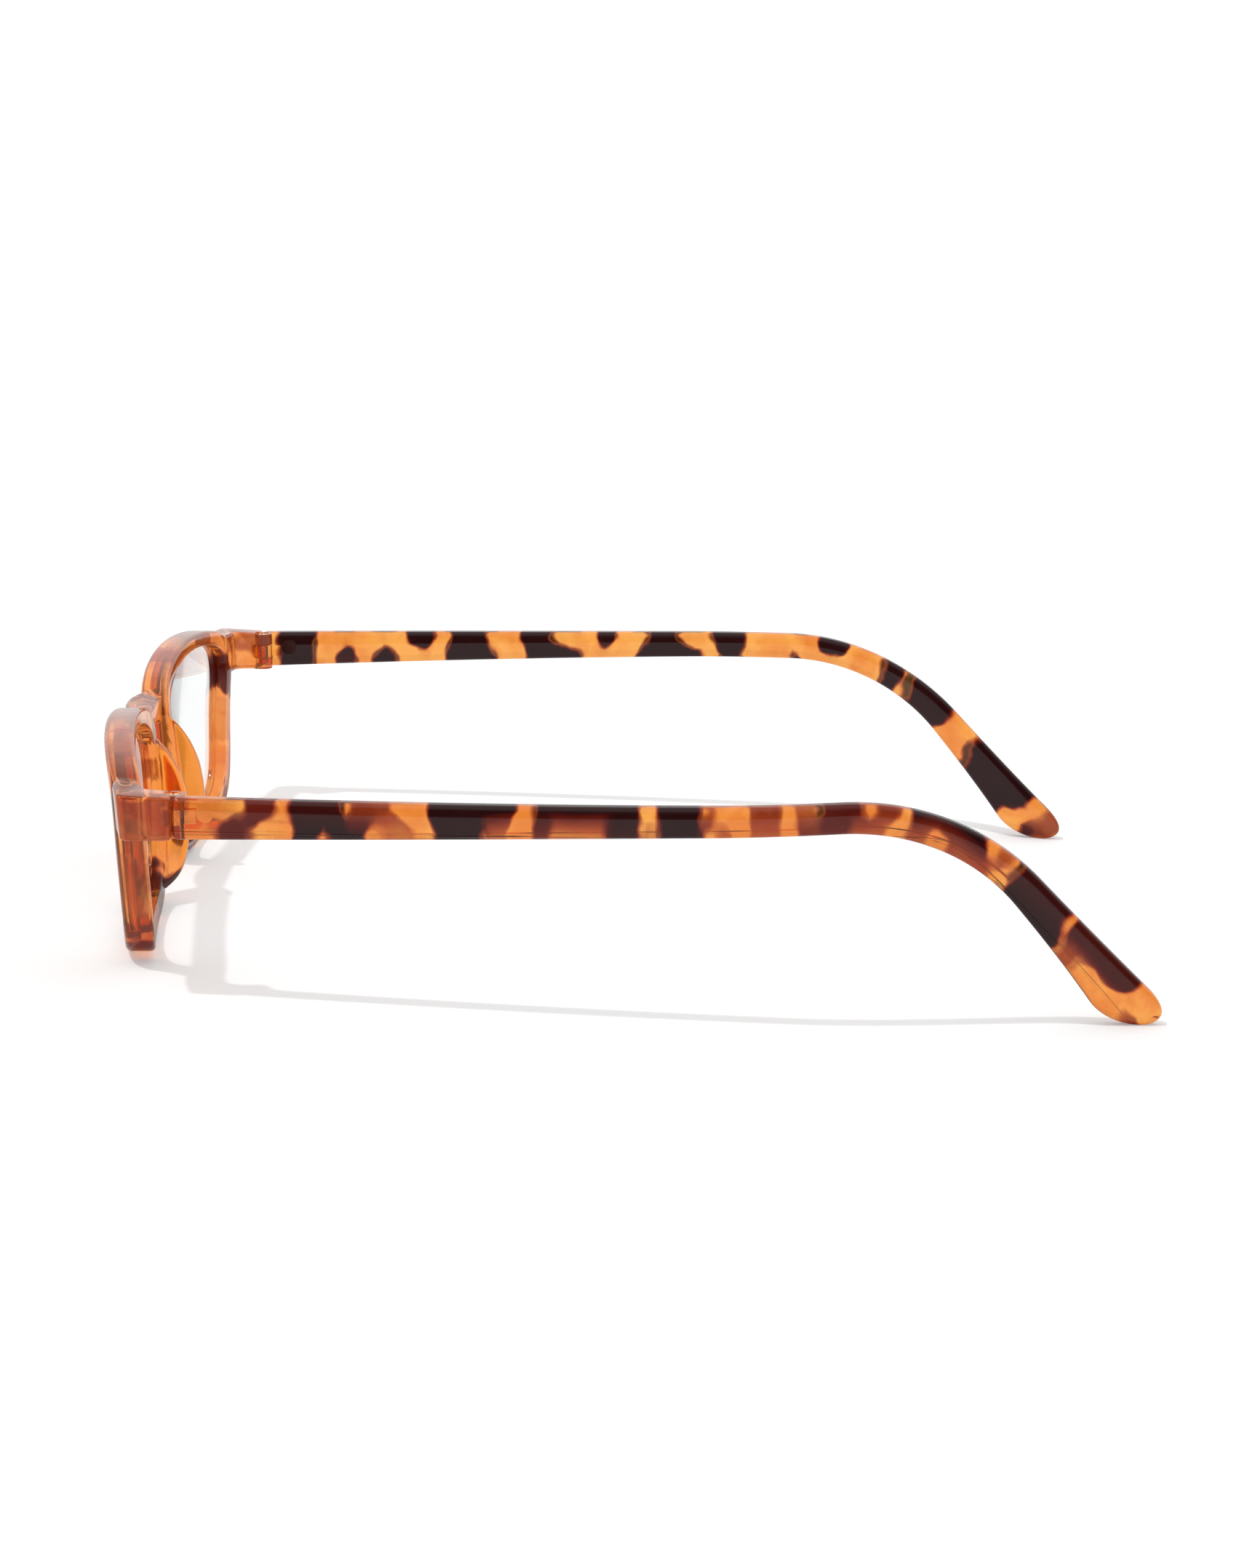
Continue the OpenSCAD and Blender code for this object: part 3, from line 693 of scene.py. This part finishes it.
# Patches of the front as seen from ahead: across, up, radius and darkness
FRONT_PATCHES = (
    (-55.5, -5, 2.8, 0.85), (-53.5, -26, 4.2, 0.95), (50.5, -28, 5.2, 0.75), (17, -25.5, 5, 0.95),
    (-17, -25.5, 5.5, 0.8), (47, 2, 3.2, 0.35), (24, 1.5, 3.4, 0.32), (-25, 2, 4, 0.4),
    (33, -26, 4.5, 0.6), (-37, -26, 4.5, 0.7), (-63.5, -1.5, 2.2, 0.5), (8, -9, 2.2, 0.5),
    (38, 1, 2.2, 0.45), (-44, 2, 2.6, 0.6), (66, -3, 3, 0.5), (55, -15, 4.5, 0.26), (-55, -13, 3, 0.2),
)


def curve(tree, along, points, whole=130.0):
    """A value along a temple, straight from point to point."""
    node = tree.nodes.new("ShaderNodeFloatCurve")
    line = node.mapping.curves[0].points
    line[0].location = (0, points[0][1])
    line[1].location = (1, points[-1][1])
    for place, value in points:
        line.new(min(max(place / whole, 0.001), 0.999), value).handle_type = "VECTOR"
    node.mapping.update()
    tree.links.new(maths(tree, "DIVIDE", along, whole), node.inputs["Value"])
    return node.outputs[0]


def patch_edges(tree, along, patches, soft=1.6):
    """Crosses one half at each edge of a patch, and runs up to 1 inside it and down to 0 between two."""
    points = [(-2 * soft, 0)]
    edges = [edge for start, end, _ in patches for edge in (start, end)]
    for i, (edge, after) in enumerate(zip(edges, edges[1:] + [140])):
        inside = 1 if i % 2 == 0 else -1
        points.append((edge, 0.5))
        if after - edge > 2 * soft:
            points += [(edge + soft, 0.5 + 0.5 * inside), (after - soft, 0.5 + 0.5 * inside)]
        else:
            points.append(((edge + after) / 2, 0.5 + inside * (after - edge) / (4 * soft)))
    return curve(tree, along, points)


def patch_tones(tree, along, patches):
    """Darkness of each patch, changed halfway between two."""
    points = [(0, patches[0][2])]
    for (_, end, tone), (start, _, following) in zip(patches, patches[1:]):
        middle = (end + start) / 2
        points += [(middle - 0.5, tone), (middle + 0.5, following)]
    return curve(tree, along, points + [(130, patches[-1][2])])


def plastic(name, place):
    """Clear polished plastic; returns what a pattern needs to finish it."""
    material, tree, shader = nodes_of(name)
    axes = own_axes(tree, place)
    fine = noise(tree, axes, 1.6, 3)
    rough = add(tree, "ShaderNodeMapRange", To_Min=0.04, To_Max=0.12)
    tree.links.new(fine, rough.inputs["Value"])
    tree.links.new(rough.outputs[0], shader.inputs["Roughness"])
    bump = add(tree, "ShaderNodeBump")
    bump.inputs["Strength"].default_value = 0.05
    bump.inputs["Distance"].default_value = 0.00005
    tree.links.new(noise(tree, axes, 0.35, 2), bump.inputs["Height"])
    tree.links.new(bump.outputs[0], shader.inputs["Normal"])
    shader.inputs["IOR"].default_value = 1.49
    shader.inputs["Specular IOR Level"].default_value = 0.36
    return material, tree, shader, axes


def tortoiseshell(tree, shader, finish, mask, axes, cloudy, clear=None):
    """Amber plastic with dark patches: mask is their darkness, and clear is 1 where there are none."""
    cloud = noise(tree, axes, 0.14, 3, 0.55, 0.4)
    shade = tree.nodes.new("ShaderNodeValToRGB")
    ramp = shade.color_ramp
    ramp.elements[0].position = 0.04
    ramp.elements[0].color = finish.amber if clear is None else finish.front_amber
    ramp.elements[1].position = 1.0
    ramp.elements[1].color = finish.dark
    for position, value in ((0.45, finish.russet), (0.78, finish.brown)):
        ramp.elements.new(position).color = value
    tree.links.new(mask, shade.inputs["Fac"])
    warm = tree.nodes.new("ShaderNodeMix")
    warm.data_type = "RGBA"
    warm.blend_type = "MULTIPLY"
    warm.inputs["Factor"].default_value = 1.0
    deep = tree.nodes.new("ShaderNodeValToRGB")
    deep.color_ramp.elements[0].position = 0.5 - 0.14 + 0.14 * cloudy
    deep.color_ramp.elements[0].color = finish.honey
    deep.color_ramp.elements[1].position = 0.5 + 0.14 * cloudy
    deep.color_ramp.elements[1].color = (1, 1, 1, 1)
    tree.links.new(cloud, deep.inputs["Fac"])
    tree.links.new(shade.outputs[0], warm.inputs[6])
    tree.links.new(deep.outputs[0], warm.inputs[7])
    colour_out = warm.outputs[2]
    passing = add(tree, "ShaderNodeMapRange", From_Min=0.1, From_Max=0.8, To_Min=0.92, To_Max=0.1)
    tree.links.new(mask, passing.inputs["Value"])
    if clear is not None:
        pads = tree.nodes.new("ShaderNodeMix")
        pads.data_type = "RGBA"
        tree.links.new(clear, pads.inputs["Factor"])
        tree.links.new(colour_out, pads.inputs[6])
        pads.inputs[7].default_value = finish.pad
        colour_out = pads.outputs[2]
    tree.links.new(colour_out, shader.inputs["Base Color"])
    tree.links.new(passing.outputs[0], shader.inputs["Transmission Weight"])


def warped(tree, value, axes, size, reach):
    """That value, moved to and fro by noise, so that what follows it gets curved borders."""
    waves = noise(tree, axes, 1 / size, 1.0, 0.4)
    return maths(tree, "ADD", value, maths(tree, "MULTIPLY_ADD", waves, 2 * reach, -reach))


# A temple's middle line for its pattern: a straight run, a soft bend at KNEE_Y and a straight drop.
# Places are in millimetres, and the slope is half of the drop's.
KNEE_Y, KNEE_SOFT, HALF_SLOPE, MIDDLE_Z = 101.85, 5, 0.575, -2.7
# Half of the patches' lean past the bend, and how far below the middle line the mould line runs
HALF_LEAN, MOULD_LINE = 0.25, 1.65


def temple_plastic(name, finish, place, upper, lower, cloudy):
    """Tortoiseshell with the patches of two lists, blended from the temple's lower half to its upper."""
    material, tree, shader, axes = plastic(name, place)
    split = tree.nodes.new("ShaderNodeSeparateXYZ")
    tree.links.new(axes, split.inputs[0])
    beyond = maths(tree, "SUBTRACT", split.outputs["Y"], KNEE_Y)
    bend = maths(tree, "SQRT", maths(tree, "MULTIPLY_ADD", beyond, beyond, KNEE_SOFT**2))
    level = maths(tree, "MULTIPLY_ADD", maths(tree, "ADD", beyond, bend), HALF_SLOPE, split.outputs["Z"])
    height = maths(tree, "ADD", level, -MIDDLE_Z)
    lean = maths(tree, "MULTIPLY_ADD", maths(tree, "DIVIDE", beyond, bend), HALF_LEAN, HALF_LEAN)
    square = maths(tree, "SUBTRACT", split.outputs["Y"], maths(tree, "MULTIPLY", height, lean))
    along = warped(tree, square, axes, 5.0, 0.9)
    side = add(tree, "ShaderNodeMapRange", From_Min=-1.7, From_Max=1.7)
    tree.links.new(warped(tree, height, axes, 6.0, 0.8), side.inputs["Value"])
    pair = []
    for values in (patch_edges, patch_tones):
        blend = tree.nodes.new("ShaderNodeMix")
        tree.links.new(side.outputs[0], blend.inputs["Factor"])
        tree.links.new(values(tree, along, lower), blend.inputs[2])
        tree.links.new(values(tree, along, upper), blend.inputs[3])
        pair.append(blend.outputs[0])
    border = add(tree, "ShaderNodeMapRange", From_Min=0.34, From_Max=0.62)
    border.interpolation_type = "SMOOTHSTEP"
    tree.links.new(warped(tree, pair[0], axes, 2.6, 0.26), border.inputs["Value"])
    tortoiseshell(tree, shader, finish, maths(tree, "MULTIPLY", border.outputs[0], pair[1]), axes, cloudy)
    off_line = maths(tree, "ABSOLUTE", maths(tree, "ADD", height, MOULD_LINE))
    mould_line(tree, shader, off_line, split.outputs["X"])
    return material


def mould_line(tree, shader, away, across):
    """A fine ridge along the lower part of a temple's outer face, where away is 0."""
    facing = tree.nodes.new("ShaderNodeSeparateXYZ")
    tree.links.new(tree.nodes.new("ShaderNodeTexCoord").outputs["Normal"], facing.inputs[0])
    outer = maths(tree, "MULTIPLY", facing.outputs["X"], maths(tree, "SIGN", across), clamp=True)
    line = add(tree, "ShaderNodeMapRange", From_Min=0.14, From_Max=0.0)
    line.interpolation_type = "SMOOTHSTEP"
    tree.links.new(away, line.inputs["Value"])
    ridge = add(tree, "ShaderNodeBump", Strength=0.7, Distance=0.0001)
    tree.links.new(maths(tree, "MULTIPLY", line.outputs[0], outer), ridge.inputs["Height"])
    tree.links.new(shader.inputs["Normal"].links[0].from_socket, ridge.inputs["Normal"])
    tree.links.new(ridge.outputs[0], shader.inputs["Normal"])


def front_plastic(finish, place):
    """Patches on the rims and end pieces, and clear nose pads."""
    material, tree, shader, axes = plastic("front plastic", place)
    split = tree.nodes.new("ShaderNodeSeparateXYZ")
    tree.links.new(axes, split.inputs[0])
    across = warped(tree, split.outputs["X"], axes, 5.0, 3.5)
    up = warped(tree, split.outputs["Z"], axes, 4.0, 3.5)
    mask = 0.0
    for x, z, radius, darkness in FRONT_PATCHES:
        dx = maths(tree, "SUBTRACT", across, x)
        dz = maths(tree, "SUBTRACT", up, z)
        away = maths(tree, "SQRT", maths(tree, "MULTIPLY_ADD", dx, dx, maths(tree, "MULTIPLY", dz, dz)))
        patch = add(tree, "ShaderNodeMapRange", From_Min=radius + 0.5, From_Max=radius - 0.5, To_Max=darkness)
        patch.interpolation_type = "SMOOTHSTEP"
        tree.links.new(away, patch.inputs["Value"])
        mask = maths(tree, "MAXIMUM", mask, patch.outputs[0])
    middle = add(tree, "ShaderNodeMapRange", From_Min=13.5, From_Max=12.0)
    tree.links.new(maths(tree, "ABSOLUTE", split.outputs["X"]), middle.inputs["Value"])
    behind = add(tree, "ShaderNodeMapRange", From_Min=-9.6, From_Max=-8.6)
    tree.links.new(split.outputs["Y"], behind.inputs["Value"])
    clear = maths(tree, "MULTIPLY", middle.outputs[0], behind.outputs[0])
    off = maths(tree, "MULTIPLY", mask, maths(tree, "SUBTRACT", 1.0, clear))
    tortoiseshell(tree, shader, finish, off, axes, 0.2, clear)
    return material


def lens_glass(finish, place):
    """Clear plastic lens with a faint tint, which lets the lamps' light through."""
    material, tree, shader = nodes_of("lens")
    axes = own_axes(tree, place)
    rough = add(tree, "ShaderNodeMapRange", To_Min=0.0, To_Max=0.012)
    tree.links.new(noise(tree, axes, 0.2, 3), rough.inputs["Value"])
    tree.links.new(rough.outputs[0], shader.inputs["Roughness"])
    shader.inputs["Base Color"].default_value = finish.lens
    shader.inputs["IOR"].default_value = 1.49
    shader.inputs["Transmission Weight"].default_value = 1.0
    clear = tree.nodes.new("ShaderNodeBsdfTransparent")
    clear.inputs["Color"].default_value = (0.9, 0.92, 0.92, 1)
    rays = tree.nodes.new("ShaderNodeLightPath")
    mix = tree.nodes.new("ShaderNodeMixShader")
    tree.links.new(rays.outputs["Is Shadow Ray"], mix.inputs[0])
    tree.links.new(shader.outputs[0], mix.inputs[1])
    tree.links.new(clear.outputs[0], mix.inputs[2])
    tree.links.new(mix.outputs[0], tree.nodes["Material Output"].inputs["Surface"])
    return material


def brass(finish, place):
    """Bright brass, a little duller in places."""
    material, tree, shader = nodes_of("screw brass")
    axes = own_axes(tree, place)
    rough = add(tree, "ShaderNodeMapRange", To_Min=0.18, To_Max=0.34)
    tree.links.new(noise(tree, axes, 6.0, 3), rough.inputs["Value"])
    tree.links.new(rough.outputs[0], shader.inputs["Roughness"])
    shader.inputs["Base Color"].default_value = finish.brass
    shader.inputs["Metallic"].default_value = 1.0
    return material


# Operators


class GLASSES_OT_front(bpy.types.Operator):
    """Build the front: rims, bridge, nose pads and end pieces, moulded in one"""

    bl_idname = "glasses.front"
    bl_label = "Front"

    def execute(self, context):
        f, h, _, finish, _ = settings()
        place = resting(f, h)
        build_front(f, h, place, front_plastic(finish, place))
        return {"FINISHED"}


class GLASSES_OT_lenses(bpy.types.Operator):
    """Build the two lenses in their rims' grooves"""

    bl_idname = "glasses.lenses"
    bl_label = "Lenses"

    def execute(self, context):
        f, h, _, finish, _ = settings()
        place = resting(f, h)
        glass = lens_glass(finish, place)
        for side, mirror in (("left", False), ("right", True)):
            lens = shape(side + "_reading_lens", lens_mesh(f), place, mirror)
            finished(lens, glass, "front", "lens", side + "_lens")
        return {"FINISHED"}


class GLASSES_OT_temples(bpy.types.Operator):
    """Build the two temples with their hinge knuckles"""

    bl_idname = "glasses.temples"
    bl_label = "Temples"

    def execute(self, context):
        f, h, t, finish, _ = settings()
        place = resting(f, h)
        left = temple_plastic("left temple plastic", finish, place, LEFT_UPPER, LEFT_LOWER, 1.0)
        right = temple_plastic("right temple plastic", finish, place, RIGHT_UPPER, RIGHT_LOWER, 0.2)
        build_temple("left_temple_moulding", f, h, t, place, left, False, "left_arm", "left_temple")
        build_temple("right_temple_moulding", f, h, t, place, right, True, "right_arm", "right_temple")
        return {"FINISHED"}


class GLASSES_OT_screws(bpy.types.Operator):
    """Build the two slotted hinge screws"""

    bl_idname = "glasses.screws"
    bl_label = "Hinge screws"

    def execute(self, context):
        f, h, _, finish, _ = settings()
        place = resting(f, h)
        metal = brass(finish, place)
        for side, mirror in (("left", False), ("right", True)):
            axis = hinge_axis(f, h)
            screw = shape(side + "_slotted_screw", screw_mesh(f, h), place, mirror)
            bm = bmesh.new()
            bmesh.ops.create_cube(
                bm, size=1,
                matrix=Matrix.Translation((axis.x, axis.y, 0.25 * MM))
                @ Matrix.Diagonal((2.4 * h.head_r, 0.3 * MM, 1 * MM, 1)),
            )
            join(screw, [shape("driver slot", bm, place, mirror)], "DIFFERENCE")
            finished(screw, metal, "front", "screw_brass", side + "_hinge_screw")
        return {"FINISHED"}


class GLASSES_OT_stage(bpy.types.Operator):
    """Set the pale floor, the soft light and the camera"""

    bl_idname = "glasses.stage"
    bl_label = "Floor, light and camera"

    def execute(self, context):
        f, h, _, finish, stage = settings()
        scene = context.scene
        place = resting(f, h)
        scene.view_settings.view_transform = "Standard"
        floor_and_sky(scene, finish, stage)
        soft_lamp(scene, stage)
        camera_like_the_photograph(scene, stage, place)
        return {"FINISHED"}


def floor_and_sky(scene, finish, stage):
    bm = bmesh.new()
    bmesh.ops.create_grid(bm, x_segments=2, y_segments=2, size=60)
    floor = shape("floor", bm, Matrix.Identity(4))
    material, tree, _ = nodes_of("floor")
    diffuse = tree.nodes.new("ShaderNodeBsdfDiffuse")
    diffuse.inputs["Color"].default_value = finish.floor
    glow = tree.nodes.new("ShaderNodeEmission")
    rays = tree.nodes.new("ShaderNodeLightPath")
    seen = maths(tree, "MAXIMUM", rays.outputs["Is Camera Ray"], rays.outputs["Is Transmission Ray"])
    tree.links.new(maths(tree, "MULTIPLY", seen, stage.floor_glow), glow.inputs["Strength"])
    both = tree.nodes.new("ShaderNodeAddShader")
    tree.links.new(diffuse.outputs[0], both.inputs[0])
    tree.links.new(glow.outputs[0], both.inputs[1])
    tree.links.new(both.outputs[0], tree.nodes["Material Output"].inputs["Surface"])
    floor.data.materials.append(material)
    world = bpy.data.worlds.new("studio")
    world.use_nodes = True
    scene.world = world
    sky = world.node_tree
    background = sky.nodes["Background"]
    background.inputs["Color"].default_value = (1, 1, 1, 1)
    direction = sky.nodes.new("ShaderNodeTexCoord")
    split = sky.nodes.new("ShaderNodeSeparateXYZ")
    sky.links.new(direction.outputs["Generated"], split.inputs[0])
    away = add(
        sky, "ShaderNodeMapRange", From_Min=0.3, From_Max=-0.5, To_Min=stage.room, To_Max=stage.backdrop
    )
    sky.links.new(split.outputs["X"], away.inputs["Value"])
    up = add(sky, "ShaderNodeMapRange", From_Min=0.25, From_Max=0.8)
    up.interpolation_type = "SMOOTHSTEP"
    sky.links.new(split.outputs["Z"], up.inputs["Value"])
    blend = sky.nodes.new("ShaderNodeMix")
    sky.links.new(up.outputs[0], blend.inputs["Factor"])
    sky.links.new(away.outputs[0], blend.inputs[2])
    blend.inputs[3].default_value = stage.sky
    rays = sky.nodes.new("ShaderNodeLightPath")
    seen = sky.nodes.new("ShaderNodeMix")
    straight = maths(sky, "MAXIMUM", rays.outputs["Is Camera Ray"], rays.outputs["Is Transmission Ray"])
    sky.links.new(straight, seen.inputs["Factor"])
    sky.links.new(blend.outputs[0], seen.inputs[2])
    seen.inputs[3].default_value = 1.0
    sky.links.new(seen.outputs[0], background.inputs["Strength"])


def soft_lamp(scene, stage):
    """A soft lamp far overhead, a little ahead of the front and towards the camera."""
    lamp = bpy.data.lights.new("overhead", "SUN")
    lamp.energy = stage.sun
    lamp.angle = stage.sun_width
    obj = bpy.data.objects.new("overhead", lamp)
    scene.collection.objects.link(obj)
    obj.rotation_euler = (Vector((0, 0, 0)) - Vector((0.2, -0.42, 1.0))).to_track_quat("-Z", "Y").to_euler()


def camera_like_the_photograph(scene, stage, place):
    data = bpy.data.cameras.new("photograph")
    data.sensor_width = 36
    data.lens = stage.focal
    data.clip_start = 0.01
    camera = bpy.data.objects.new("photograph", data)
    scene.collection.objects.link(camera)
    az, el = stage.azimuth, stage.elevation
    back = Vector((sin(az) * cos(el), -cos(az) * cos(el), sin(el)))
    side = Vector((cos(az), sin(az), 0))
    turn = Matrix((side, back.cross(side), back)).transposed().to_4x4() @ Matrix.Rotation(stage.roll, 4, "Z")
    at = Vector((0, stage.aim_y, stage.aim_z)) + back * stage.distance
    camera.matrix_world = place @ Matrix.Translation(at) @ turn
    scene.camera = camera


class GLASSES_PT_panel(bpy.types.Panel):
    """Lists the pieces of the glasses"""

    bl_idname = "GLASSES_PT_panel"
    bl_label = "Reading glasses"
    bl_space_type = "VIEW_3D"
    bl_region_type = "UI"
    bl_category = "Glasses"

    def draw(self, context):
        operators = (
            GLASSES_OT_front, GLASSES_OT_lenses, GLASSES_OT_temples, GLASSES_OT_screws, GLASSES_OT_stage,
        )
        for operator in operators:
            self.layout.operator(operator.bl_idname)


CLASSES = (
    FrontSizes, HingeSizes, TempleSizes, Finish, StageSizes,
    GLASSES_OT_front, GLASSES_OT_lenses, GLASSES_OT_temples, GLASSES_OT_screws, GLASSES_OT_stage,
    GLASSES_PT_panel,
)
GROUPS = {
    "glasses_front": FrontSizes, "glasses_hinge": HingeSizes, "glasses_temple": TempleSizes,
    "glasses_finish": Finish, "glasses_stage": StageSizes,
}


def register():
    for cls in CLASSES:
        bpy.utils.register_class(cls)
    for name, group in GROUPS.items():
        setattr(bpy.types.Scene, name, PointerProperty(type=group))


def unregister():
    for name in GROUPS:
        delattr(bpy.types.Scene, name)
    for cls in reversed(CLASSES):
        bpy.utils.unregister_class(cls)


def main():
    register()
    bpy.ops.glasses.front()
    bpy.ops.glasses.lenses()
    bpy.ops.glasses.temples()
    bpy.ops.glasses.screws()
    bpy.ops.glasses.stage()


if __name__ == "__main__":
    main()
